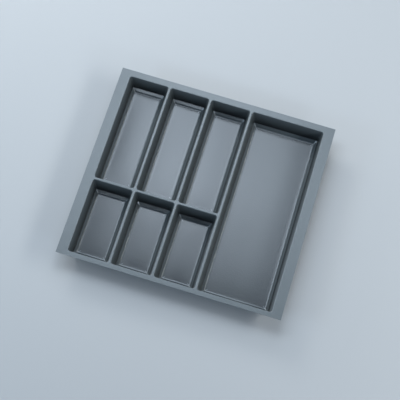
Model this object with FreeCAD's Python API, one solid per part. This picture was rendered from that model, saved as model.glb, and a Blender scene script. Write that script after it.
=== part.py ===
import FreeCAD, Part
import os
from collections import namedtuple
from math import atan2, cos, sin, tan

# Cutlery tray for a kitchen drawer: one plastic sheet drawn down into seven pans.
# X runs across the drawer, Y from its front to its back, Z up from the drawer floor.
# The origin is the middle of the tray's outline, on the drawer floor.

# Overall size in millimetres
tray_width = 517.0
tray_depth = 472.5
tray_height = 48.0
sheet = 1.5

# Flat rim around the pans, and the ridges between them
side_rim = 24.3
back_rim = 16.0
front_rim = 11.0
ridge = 5.8

# Pan mouths: columns from the left with a short pan in front of a long one, then the wide pan
narrow_width = 93.5
short_depth = 176.5
column_names = ("left", "middle", "right")

# Pan walls lean in from under the deck to a knee, and a steep foot slopes from the knee to the floor
wall_lean = 7.0
foot_run = 7.0
foot_rise = 8.0

# Radius of the corners between walls, and of the bends between feet and floor
wall_corner = 5.5
foot_round = 5.0

# Share of the sheet's thickness that is rolled over around every mouth
roll_share = 0.9

# How far a cutting shape runs past the shape that it cuts
overrun = 2.0

# Heights and slopes that follow from the sizes above
seam_height = tray_height - sheet
knee_height = sheet + foot_rise
wall_angle = atan2(wall_lean, seam_height - knee_height)
foot_angle = atan2(foot_rise, foot_run)

Pan = namedtuple("Pan", "name left right front back")


def lay_out_pans():
    """Mouth of every pan, by its four sides."""
    front = -tray_depth / 2 + front_rim
    back = tray_depth / 2 - back_rim
    left = -tray_width / 2 + side_rim
    pans = []
    for column in column_names:
        right = left + narrow_width
        pans.append(Pan("short_pan_" + column, left, right, front, front + short_depth))
        pans.append(Pan("long_pan_" + column, left, right, front + short_depth + ridge, back))
        left = right + ridge
    pans.append(Pan("wide_pan", left, tray_width / 2 - side_rim, front, back))
    return pans


def wall_inset(height, skin):
    """How far the walls stand in from the mouth, on the face that lies skin below the sheet's top face."""
    return (seam_height - height) * tan(wall_angle) - skin / cos(wall_angle)


def foot_inset(height, skin):
    """The same for the feet."""
    return wall_lean + (knee_height - height) / tan(foot_angle) - skin / sin(foot_angle)


def sloping_block(pan, inset_at, skin, low, high):
    """Block with four flat sloping sides between two heights."""
    levels = []
    for height in (low, high):
        inset = inset_at(height, skin)
        left, right = pan.left + inset, pan.right - inset
        front, back = pan.front + inset, pan.back - inset
        corners = ((left, front), (right, front), (right, back), (left, back))
        levels.append([FreeCAD.Vector(x, y, height) for x, y in corners])
    bottom, top = levels
    outlines = [bottom[::-1], top]
    for index in range(len(bottom)):
        outlines.append([bottom[index - 1], bottom[index], top[index], top[index - 1]])
    shell = Part.makeShell([Part.Face(Part.makePolygon(points + points[:1])) for points in outlines])
    shell.sewShape()
    return Part.Solid(shell)


def upright_edges(body):
    return [edge for edge in body.Edges if edge.BoundBox.ZLength > sheet]


def plug(pan, skin):
    """Body that one face of a pan encloses, from its floor up to the deck."""
    walls = sloping_block(pan, wall_inset, skin, -overrun, seam_height)
    walls = walls.makeFillet(wall_corner + skin, upright_edges(walls))
    feet = sloping_block(pan, foot_inset, skin, sheet - skin, tray_height)
    floor_edges = [edge for edge in feet.Edges if edge.BoundBox.ZMax < knee_height]
    feet = feet.makeFillet(foot_round + skin, floor_edges)
    return walls.common(feet)


def make_pan(pan):
    """Walls, feet and floor of one pan, as thick as the sheet all over."""
    return plug(pan, sheet).cut(plug(pan, 0))


def make_deck(pans):
    """Flat rim and ridges, rolled over around every mouth."""
    corner = FreeCAD.Vector(-tray_width / 2, -tray_depth / 2, seam_height)
    deck = Part.makeBox(tray_width, tray_depth, sheet, corner)
    for pan in pans:
        corner = FreeCAD.Vector(pan.left, pan.front, seam_height - overrun)
        mouth = Part.makeBox(pan.right - pan.left, pan.back - pan.front, sheet + 2 * overrun, corner)
        deck = deck.cut(mouth.makeFillet(wall_corner, upright_edges(mouth)))
    top = max(deck.Faces, key=lambda face: face.CenterOfMass.z)
    mouths = [wire for wire in top.Wires if not wire.isSame(top.OuterWire)]
    return deck.makeFillet(roll_share * sheet, [edge for wire in mouths for edge in wire.Edges])


os.makedirs("parts", exist_ok=True)
all_pans = lay_out_pans()
make_deck(all_pans).exportStep("parts/rim_deck.step")
for each_pan in all_pans:
    make_pan(each_pan).exportStep("parts/" + each_pan.name + ".step")
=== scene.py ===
from collections import namedtuple
from math import atan2, cos, pi, radians, sin, tan

import bmesh
import bpy
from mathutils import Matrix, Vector


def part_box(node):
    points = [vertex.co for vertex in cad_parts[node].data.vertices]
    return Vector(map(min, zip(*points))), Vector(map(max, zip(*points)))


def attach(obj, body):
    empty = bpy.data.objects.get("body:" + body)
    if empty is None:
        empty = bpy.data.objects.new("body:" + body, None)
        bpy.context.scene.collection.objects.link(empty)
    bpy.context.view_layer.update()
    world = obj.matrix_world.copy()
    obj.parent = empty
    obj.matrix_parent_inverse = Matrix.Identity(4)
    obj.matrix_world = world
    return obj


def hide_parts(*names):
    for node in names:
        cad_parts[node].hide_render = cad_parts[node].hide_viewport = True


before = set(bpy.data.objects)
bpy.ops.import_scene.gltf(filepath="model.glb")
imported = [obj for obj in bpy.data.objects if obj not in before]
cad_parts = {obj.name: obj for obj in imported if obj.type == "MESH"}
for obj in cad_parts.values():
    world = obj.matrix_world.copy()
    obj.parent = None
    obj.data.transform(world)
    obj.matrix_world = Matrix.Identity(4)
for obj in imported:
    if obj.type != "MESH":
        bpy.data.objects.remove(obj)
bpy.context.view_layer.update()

MM = 0.001

# The formed sheet, as the solids have it
DECK_LOW, DECK_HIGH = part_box("rim_deck")
SHEET = DECK_HIGH.z - DECK_LOW.z
SEAM = DECK_LOW.z
WALL_LEAN = 7.0 * MM
FOOT_RUN = 7.0 * MM
FOOT_RISE = 8.0 * MM
PAN_NODES = sorted(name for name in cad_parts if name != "rim_deck")

# Softer bends than the solids carry: their radii along the profile, and the corners seen from above
ROLL = 1.7 * MM
KNEE_BEND = 4.0 * MM
FLOOR_BEND = 6.0 * MM
UNDER_FLARE = 1.6 * MM
MOUTH_CORNER = 5.5 * MM
KNEE_CORNER = 4.0 * MM
FOOT_CORNER = 2.0 * MM
FLOOR_CORNER = 1.5 * MM
TRIM_BEVEL = 0.3 * MM
TRIM_BAND = 1.5 * MM

# Narrow strips beside each bend keep the flat faces flat in smooth shading
HOLD = 0.4 * MM

# Each floor bows up across its width, by this slope at its sides, within a narrow band along its edge
BOW_SLOPE = radians(1.0)
BOW_STEPS = 24
BOW_BAND = 1.0 * MM

CORNER_STEPS = 14
BEND_STEPS = 8
SHARP_ANGLE = radians(40)

# Last rows of a pan's profile: the bend at the floor with the floor's edge, and the foot before it
FLOOR_ROWS = BEND_STEPS + 3
FOOT_ROWS = 3

# How much painted shade darkens the sheet inside the pans: 1 on the walls, and less on feet and floors
FOOT_PAINTED_SHADE = 0.3
FLOOR_PAINTED_SHADE = 0.69

# How far it is pressed on the mould, which makes it glossy: 1 on the floors' bends, less on the flats
FLAT_PRESSED = 0.75

# How far it is lightened: 1 on handled edges, where it is worn, and this much on the floors' bends and in the
# feet's mitres, where highlights are painted
BEND_PAINTED_HIGHLIGHT = 0.6
MITRE_PAINTED_HIGHLIGHT = 1.0

KNEE_HEIGHT = SHEET + FOOT_RISE
WALL_ANGLE = atan2(WALL_LEAN, SEAM - KNEE_HEIGHT)
FOOT_ANGLE = atan2(FOOT_RISE, FOOT_RUN)
FOOT_INSET = WALL_LEAN + FOOT_RUN

Mouth = namedtuple("Mouth", "left right front back")


def mouth_of(node):
    """Mouth of a pan: its solid's outline, less the slanting thickness of the sheet."""
    low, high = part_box(node)
    skin = SHEET / cos(WALL_ANGLE)
    return Mouth(low.x + skin, high.x - skin, low.y + skin, high.y - skin)


def rounded(points, radii, steps):
    """The same line of points with each inner one turned into an arc of its radius."""
    points = [Vector(point) for point in points]
    line = [points[0]]
    for before, here, after, radius in zip(points, points[1:], points[2:], radii):
        back, ahead = (before - here).normalized(), (after - here).normalized()
        half = back.angle(ahead) / 2
        reach = radius / tan(half)
        middle = here + (back + ahead).normalized() * radius / sin(half)
        start = here + back * reach - middle
        turn = start.angle_signed(here + ahead * reach - middle)
        line.append(middle + start + back * min(HOLD, ((before - here).length - reach) / 2))
        for step in range(steps + 1):
            angle = -turn * step / steps
            line.append(middle + Vector((start.x * cos(angle) - start.y * sin(angle),
                                         start.x * sin(angle) + start.y * cos(angle))))
        line.append(line[-1] + ahead * min(HOLD, ((after - here).length - reach) / 2))
    line.append(points[-1])
    return line


def corner_at(inset):
    """Corner radius of a pan, seen from above, where its face stands this far in from the mouth."""
    if inset <= 0:
        return MOUTH_CORNER - inset
    if inset <= WALL_LEAN:
        return MOUTH_CORNER + (KNEE_CORNER - MOUTH_CORNER) * inset / WALL_LEAN
    if inset <= FOOT_INSET:
        return KNEE_CORNER + (FOOT_CORNER - KNEE_CORNER) * (inset - WALL_LEAN) / FOOT_RUN
    return max(FLOOR_CORNER, FOOT_CORNER - (inset - FOOT_INSET))


def outline(mouth, inset, corner):
    """Rounded rectangle that stands a given way in from a mouth, anticlockwise from the front right."""
    left, right = mouth.left + inset + corner, mouth.right - inset - corner
    front, back = mouth.front + inset + corner, mouth.back - inset - corner
    points = []
    for quarter, (x, y) in enumerate(((right, front), (right, back), (left, back), (left, front))):
        for step in range(CORNER_STEPS + 1):
            angle = (quarter - 1 + step / CORNER_STEPS) * pi / 2
            points.append((x + corner * cos(angle), y + corner * sin(angle)))
    return points


def new_mesh():
    """Empty mesh whose points can say how much wear or painted highlight, painted shade and pressing the
    sheet has there.
    """
    mesh = bmesh.new()
    for key in ("worn", "drawn", "pressed"):
        mesh.verts.layers.float.new(key)
    return mesh


def add_point(mesh, place, **state):
    vert = mesh.verts.new(place)
    for key, amount in state.items():
        vert[mesh.verts.layers.float[key]] = amount
    return vert


def ring(mesh, points, height, **state):
    """Row of points at one height and in one state."""
    return [add_point(mesh, (x, y, height), **state) for x, y in points]


def bridge(mesh, first, second):
    """Band of faces between two rings."""
    for index in range(len(first)):
        mesh.faces.new((first[index - 1], first[index], second[index], second[index - 1]))


def bridge_all(mesh, rings):
    """Bands of faces from each ring to the next."""
    for first, second in zip(rings, rings[1:]):
        bridge(mesh, first, second)


def fill_between(mesh, loops):
    """Flat face with holes between rings that lie at one height."""
    edges = []
    for loop in loops:
        for pair in zip([loop[-1], *loop], loop):
            edges.append(mesh.edges.get(pair) or mesh.edges.new(pair))
    bmesh.ops.triangle_fill(mesh, edges=edges, use_beauty=True, normal=(0, 0, 1))


def finished(mesh, name, node, material):
    """Turn a closed mesh into the piece that stands for a node."""
    bmesh.ops.recalc_face_normals(mesh, faces=mesh.faces)
    for face in mesh.faces:
        face.smooth = True
    for edge in mesh.edges:
        edge.smooth = edge.calc_face_angle(0) < SHARP_ANGLE
    data = bpy.data.meshes.new(name)
    mesh.to_mesh(data)
    mesh.free()
    data.materials.append(material)
    piece = bpy.data.objects.new(name, data)
    bpy.context.scene.collection.objects.link(piece)
    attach(piece, "root")
    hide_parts(node)


def wall_line(height, skin):
    """How far a wall stands in from the mouth, on the face that lies skin below the sheet's top face."""
    return (SEAM - height) * tan(WALL_ANGLE) - skin / cos(WALL_ANGLE)


def foot_line(height, skin):
    """The same for a foot."""
    return WALL_LEAN + (KNEE_HEIGHT - height) / tan(FOOT_ANGLE) - skin / sin(FOOT_ANGLE)


def knee_point(skin):
    """Where wall and foot meet on that face."""
    gap = wall_line(0, skin) - foot_line(0, skin)
    height = gap / (tan(WALL_ANGLE) - 1 / tan(FOOT_ANGLE))
    return wall_line(height, skin), height


def state_at(row, rows):
    """How much painted shade, pressing and painted highlight the sheet gets in one row of a pan's profile,
    from its mouth.
    """
    step = row - (rows - FLOOR_ROWS)
    if step >= 0:
        bend = min(1, step / BEND_STEPS)
        # The floor's bend gets painted shade and a painted highlight line along it
        return {"drawn": FLOOR_PAINTED_SHADE, "pressed": 1, "worn": BEND_PAINTED_HIGHLIGHT * sin(pi * bend)}
    if step >= -FOOT_ROWS:
        # Feet get a lighter share of painted shade
        return {"drawn": FOOT_PAINTED_SHADE, "pressed": FLAT_PRESSED}
    # The mouth's own row still has the deck's colour, and the wall rows below it full painted shade
    return {"drawn": min(1, row), "pressed": 0}


def paint_mitre_highlights(mesh, row):
    """Paint a highlight on the middle of each rounded corner in a row of points."""
    layer = mesh.verts.layers.float["worn"]
    for index, vert in enumerate(row):
        turn = index % (CORNER_STEPS + 1) / CORNER_STEPS
        vert[layer] = max(vert[layer], MITRE_PAINTED_HIGHLIGHT * sin(pi * turn))


def make_pan_floor(mesh, mouth, edge, inset, height):
    """Floor within the ring at its edge, bowed up towards the middle."""
    middle = Vector(((mouth.left + mouth.right) / 2, (mouth.front + mouth.back) / 2))
    half = Vector(((mouth.right - mouth.left) / 2 - inset, (mouth.back - mouth.front) / 2 - inset))
    bow = half.x * tan(BOW_SLOPE) / 2
    shares = [2 * step / BOW_STEPS - 1 for step in range(BOW_STEPS + 1)]
    across = [share * (1 - BOW_BAND / half.x) for share in shares]
    along = [share * (1 - BOW_BAND / half.y) for share in shares]
    rows = []
    for v in along:
        rows.append([])
        for u in across:
            rise = bow * (1 - u ** 2) * (1 - v ** 4)
            place = (middle.x + u * half.x, middle.y + v * half.y, height + rise)
            # Floor points get the floor's share of painted shade
            rows[-1].append(add_point(mesh, place, drawn=FLOOR_PAINTED_SHADE, pressed=FLAT_PRESSED))
    for front, back in zip(rows, rows[1:]):
        for index in range(BOW_STEPS):
            mesh.faces.new((front[index], front[index + 1], back[index + 1], back[index]))
    rest = rows[1:-1]
    border = rows[0] + [row[-1] for row in rest] + rows[-1][::-1] + [row[0] for row in rest[::-1]]
    fill_between(mesh, [edge, border])


def make_pan(node, material):
    """Walls, feet and floor of one pan, on both faces of the sheet."""
    mouth = mouth_of(node)
    mesh = new_mesh()
    floor_edge = FOOT_INSET + FLOOR_BEND
    inner = rounded([(0, SEAM), knee_point(0), (foot_line(SHEET, 0), SHEET), (floor_edge, SHEET)],
                    [KNEE_BEND, FLOOR_BEND], BEND_STEPS)
    # The underside starts at the first point of its flare
    outer = rounded([(-SHEET - UNDER_FLARE, SEAM), (wall_line(SEAM, SHEET), SEAM), knee_point(SHEET),
                     (foot_line(0, SHEET), 0), (floor_edge, 0)],
                    [UNDER_FLARE, KNEE_BEND + SHEET, FLOOR_BEND + SHEET], BEND_STEPS)[2:]
    sides = []
    for line, skin in ((inner, 0), (outer, SHEET)):
        rings = []
        for index, place in enumerate(line):
            state = state_at(index, len(line))
            rings.append(ring(mesh, outline(mouth, place.x, corner_at(place.x) + skin), place.y, **state))
            # Pressed rows get a painted highlight along each mitre
            if state["pressed"]:
                paint_mitre_highlights(mesh, rings[-1])
        bridge_all(mesh, rings)
        make_pan_floor(mesh, mouth, rings[-1], floor_edge, line[-1].y)
        sides.append(rings[0])
    bridge(mesh, *sides)
    finished(mesh, node + "_sheet", node, material)


def make_deck(material):
    """Flat rim and ridges, bevelled where trimmed and rolled over around every mouth."""
    mesh = new_mesh()
    edge = Mouth(DECK_LOW.x, DECK_HIGH.x, DECK_LOW.y, DECK_HIGH.y)
    top = DECK_HIGH.z
    rim = []
    for inset, height, worn in ((TRIM_BAND, top, 0), (TRIM_BEVEL, top, 1), (0, top - TRIM_BEVEL, 1),
                                (0, SEAM + TRIM_BEVEL, 1), (TRIM_BEVEL, SEAM, 1)):
        left, right = edge.left + inset, edge.right - inset
        front, back = edge.front + inset, edge.back - inset
        corners = ((left, front), (right, front), (right, back), (left, back))
        rim.append(ring(mesh, corners, height, worn=worn))
    bridge_all(mesh, rim)
    tops, unders = [rim[0]], [rim[-1]]
    roll = rounded([(-2 * ROLL, top), (wall_line(top, 0), top), (0, SEAM)], [ROLL], BEND_STEPS)[1:]
    for node in PAN_NODES:
        mouth = mouth_of(node)
        rings = []
        for index, point in enumerate(roll):
            worn = sin(pi * min(1, max(0, index - 1) / BEND_STEPS))
            rings.append(ring(mesh, outline(mouth, point.x, corner_at(point.x)), point.y, worn=worn))
        bridge_all(mesh, rings)
        tops.append(rings[0])
        unders.append(rings[-1])
    fill_between(mesh, tops)
    fill_between(mesh, unders)
    finished(mesh, "rim_deck_sheet", "rim_deck", material)


# Grey satin plastic, darkened inside the pans by painted shade, and a little lighter where it is worn and
# where highlights are painted on bends and mitres
SHEET_COLOUR = (0.110, 0.124, 0.127)
# Colour of the painted shade inside the pans
PAINTED_SHADE_COLOUR = (0.010, 0.012, 0.0125)
# Colour of wear on edges and of the painted highlights on bends and mitres
WEAR_AND_HIGHLIGHT_COLOUR = (0.140, 0.156, 0.160)
COLOUR_SPREAD = 0.12

# Roughness of the sheet, and the share of it that is left where it is pressed on the mould
SHEET_ROUGHNESS = 0.31
PRESSED_ROUGHNESS = 0.28
ROUGHNESS_SPREAD = 0.06

# Colour and gloss vary in broad clouds from uneven heat, and in streaks along the sheet's run
CLOUD_SCALE = 14.0
CLOUD_DETAIL = 3.0
STREAK_SCALE = 4.0
STREAK_STRETCH = (22.5, 1.0, 1.0)
STREAK_DETAIL = 2.0
STREAK_SHARE = 0.25

# The grain is a fine bump
GRAIN_SCALE = 380.0
GRAIN_DETAIL = 4.0
GRAIN_DEPTH = 0.15 * MM

# Index of refraction of polystyrene
SHEET_IOR = 1.59


def make_node(tree, kind, sockets=(), **settings):
    """New shader node with its settings, and with a value or a link in each socket named."""
    node = tree.nodes.new(kind)
    for key, value in settings.items():
        setattr(node, key, value)
    for key, value in dict(sockets).items():
        if isinstance(value, bpy.types.NodeSocket):
            tree.links.new(value, node.inputs[key])
        else:
            node.inputs[key].default_value = value
    return node


def read_layer(tree, name):
    """What the mesh says in one of its point layers."""
    return make_node(tree, "ShaderNodeAttribute", attribute_name=name).outputs["Fac"]


def spread_about(tree, share, middle, spread):
    """A share of 0 to 1 turned into a range about a middle value."""
    limits = {"Value": share, "To Min": middle - spread / 2, "To Max": middle + spread / 2}
    return make_node(tree, "ShaderNodeMapRange", limits).outputs["Result"]


def make_mottle(tree, place):
    """Clouds with some streaks."""
    clouds = make_node(tree, "ShaderNodeTexNoise",
                       {"Vector": place, "Scale": CLOUD_SCALE, "Detail": CLOUD_DETAIL})
    stretch = make_node(tree, "ShaderNodeMapping", {"Vector": place, "Scale": STREAK_STRETCH})
    streaks = make_node(tree, "ShaderNodeTexNoise", {"Vector": stretch.outputs["Vector"],
                                                     "Scale": STREAK_SCALE, "Detail": STREAK_DETAIL})
    mottle = make_node(tree, "ShaderNodeMix",
                       {"Factor": STREAK_SHARE, "A": clouds.outputs["Fac"], "B": streaks.outputs["Fac"]},
                       data_type="FLOAT")
    return mottle.outputs["Result"]


def make_colour(tree, mottle):
    """The sheet's colour, darkened by painted shade inside the pans and lightened by wear and by painted
    highlights.
    """
    # Painted shade inside the pans first, then wear and painted highlights
    drawn = make_node(tree, "ShaderNodeMix", {"Factor": read_layer(tree, "drawn"), "A": (*SHEET_COLOUR, 1),
                                              "B": (*PAINTED_SHADE_COLOUR, 1)}, data_type="RGBA")
    worn = make_node(tree, "ShaderNodeMix", {"Factor": read_layer(tree, "worn"), "A": drawn.outputs["Result"],
                                             "B": (*WEAR_AND_HIGHLIGHT_COLOUR, 1)}, data_type="RGBA")
    tint = make_node(tree, "ShaderNodeVectorMath", {"Vector": worn.outputs["Result"],
                                                    "Scale": spread_about(tree, mottle, 1, COLOUR_SPREAD)},
                     operation="SCALE")
    return tint.outputs["Vector"]


def make_roughness(tree, mottle):
    """The sheet's roughness, less where it is pressed."""
    polish = make_node(tree, "ShaderNodeMapRange", {"Value": read_layer(tree, "pressed"), "To Min": 1,
                                                    "To Max": PRESSED_ROUGHNESS})
    satin = spread_about(tree, mottle, SHEET_ROUGHNESS, ROUGHNESS_SPREAD)
    gloss = make_node(tree, "ShaderNodeMath", {0: satin, 1: polish.outputs["Result"]}, operation="MULTIPLY")
    return gloss.outputs["Value"]


def make_grain(tree, place):
    grain = make_node(tree, "ShaderNodeTexNoise",
                      {"Vector": place, "Scale": GRAIN_SCALE, "Detail": GRAIN_DETAIL})
    bump = make_node(tree, "ShaderNodeBump", {"Height": grain.outputs["Fac"], "Distance": GRAIN_DEPTH})
    return bump.outputs["Normal"]


def make_plastic():
    material = bpy.data.materials.new("grey_sheet_plastic")
    material.use_nodes = True
    tree = material.node_tree
    shader = tree.nodes["Principled BSDF"]
    shader.inputs["IOR"].default_value = SHEET_IOR
    place = make_node(tree, "ShaderNodeTexCoord").outputs["Object"]
    mottle = make_mottle(tree, place)
    tree.links.new(make_colour(tree, mottle), shader.inputs["Base Color"])
    tree.links.new(make_roughness(tree, mottle), shader.inputs["Roughness"])
    tree.links.new(make_grain(tree, place), shader.inputs["Normal"])
    return material


# Pale matt floor
FLOOR_COLOUR = (0.478, 0.476, 0.470)
FLOOR_ROUGHNESS = 0.9
FLOOR_SPECULAR = 0.1
FLOOR_SIDE = 12.0


def make_floor():
    material = bpy.data.materials.new("pale_floor")
    material.use_nodes = True
    shader = material.node_tree.nodes["Principled BSDF"]
    shader.inputs["Base Color"].default_value = (*FLOOR_COLOUR, 1)
    shader.inputs["Roughness"].default_value = FLOOR_ROUGHNESS
    shader.inputs["Specular IOR Level"].default_value = FLOOR_SPECULAR
    half = FLOOR_SIDE / 2
    corners = [(-half, -half, 0), (half, -half, 0), (half, half, 0), (-half, half, 0)]
    data = bpy.data.meshes.new("floor")
    data.from_pydata(corners, [], [(0, 1, 2, 3)])
    data.materials.append(material)
    floor = bpy.data.objects.new("floor", data)
    bpy.context.scene.collection.objects.link(floor)


# Studio light: softboxes that face the tray, placed by compass angle from the back and by height angle
Softbox = namedtuple("Softbox", "name compass rise width height power colour")
PLAIN_LIGHT = (0.95, 1.0, 1.02)
COOL_LIGHT = (0.86, 1.0, 1.16)
BLUE_LIGHT = (0.74, 1.0, 1.28)
SOFTBOXES = (
    Softbox("right_box", 80, 35, 1.6, 0.44, 22.5, PLAIN_LIGHT),
    Softbox("left_box", 279, 12, 2.3, 0.54, 14.5, PLAIN_LIGHT),
    Softbox("back_left_box", 318, 28, 0.9, 0.55, 19.0, PLAIN_LIGHT),
    Softbox("left_top_box", 294, 57, 0.65, 0.65, 8.5, COOL_LIGHT),
    Softbox("top_box", 350, 61.5, 0.8, 0.75, 4.8, COOL_LIGHT),
    Softbox("top_wide_box", 346, 66, 1.0, 1.0, 6.0, COOL_LIGHT),
    Softbox("top_core_box", 340, 64, 0.35, 0.5, 0.6, COOL_LIGHT),
    Softbox("top_near_box", 0, 74, 0.8, 0.4, 1.2, COOL_LIGHT),
    Softbox("overhead_box", 350, 84, 1.2, 0.8, 0.6, COOL_LIGHT),
    Softbox("back_box", 352, 42, 0.9, 0.6, 4.8, COOL_LIGHT),
    Softbox("back_right_top_box", 30, 61, 0.4, 0.4, 1.2, COOL_LIGHT),
    Softbox("top_left_box", 326, 70, 0.5, 0.3, 0.28, COOL_LIGHT),
    Softbox("top_right_box", 19, 79.5, 0.35, 0.25, 0.17, COOL_LIGHT),
    Softbox("front_box", 192.5, 17, 0.38, 0.52, 2.3, COOL_LIGHT),
    Softbox("front_left_box", 240, 27, 0.5, 0.3, 6.5, BLUE_LIGHT),
    Softbox("front_right_box", 124, 26, 0.5, 0.36, 7.0, COOL_LIGHT),
)
LIGHT_REACH = 2.2
ROOM_COLOUR = (0.7, 1.0, 1.4)
ROOM_STRENGTH = 0.13


def add_softbox(box):
    lamp = bpy.data.lights.new(box.name, "AREA")
    lamp.shape = "RECTANGLE"
    lamp.size = box.width
    lamp.size_y = box.height
    lamp.energy = box.power
    lamp.color = box.colour
    compass, rise = radians(box.compass), radians(box.rise)
    away = Vector((sin(compass) * cos(rise), cos(compass) * cos(rise), sin(rise)))
    panel = bpy.data.objects.new(box.name, lamp)
    panel.location = away * LIGHT_REACH
    panel.rotation_euler = (-away).to_track_quat("-Z", "Y").to_euler()
    panel.visible_camera = False
    bpy.context.scene.collection.objects.link(panel)


def make_light():
    for box in SOFTBOXES:
        add_softbox(box)
    world = bpy.data.worlds.new("dim_room")
    world.use_nodes = True
    background = world.node_tree.nodes["Background"]
    background.inputs["Color"].default_value = (*ROOM_COLOUR, 1)
    background.inputs["Strength"].default_value = ROOM_STRENGTH
    bpy.context.scene.world = world


# The photograph's viewpoint
CAMERA_PLACE = (0.1830, -0.8551, 2.4235)
CAMERA_TURN = (19.575, -1.860, 16.978)
CAMERA_LENS = 100.92
CAMERA_SENSOR = 36.0


def make_camera():
    data = bpy.data.cameras.new("camera")
    data.lens = CAMERA_LENS
    data.sensor_width = CAMERA_SENSOR
    camera = bpy.data.objects.new("camera", data)
    camera.location = CAMERA_PLACE
    camera.rotation_euler = [radians(angle) for angle in CAMERA_TURN]
    bpy.context.scene.collection.objects.link(camera)
    bpy.context.scene.camera = camera


plastic = make_plastic()
make_deck(plastic)
for pan_node in PAN_NODES:
    make_pan(pan_node, plastic)
make_floor()
make_light()
make_camera()
bpy.context.scene.view_settings.view_transform = "Standard"
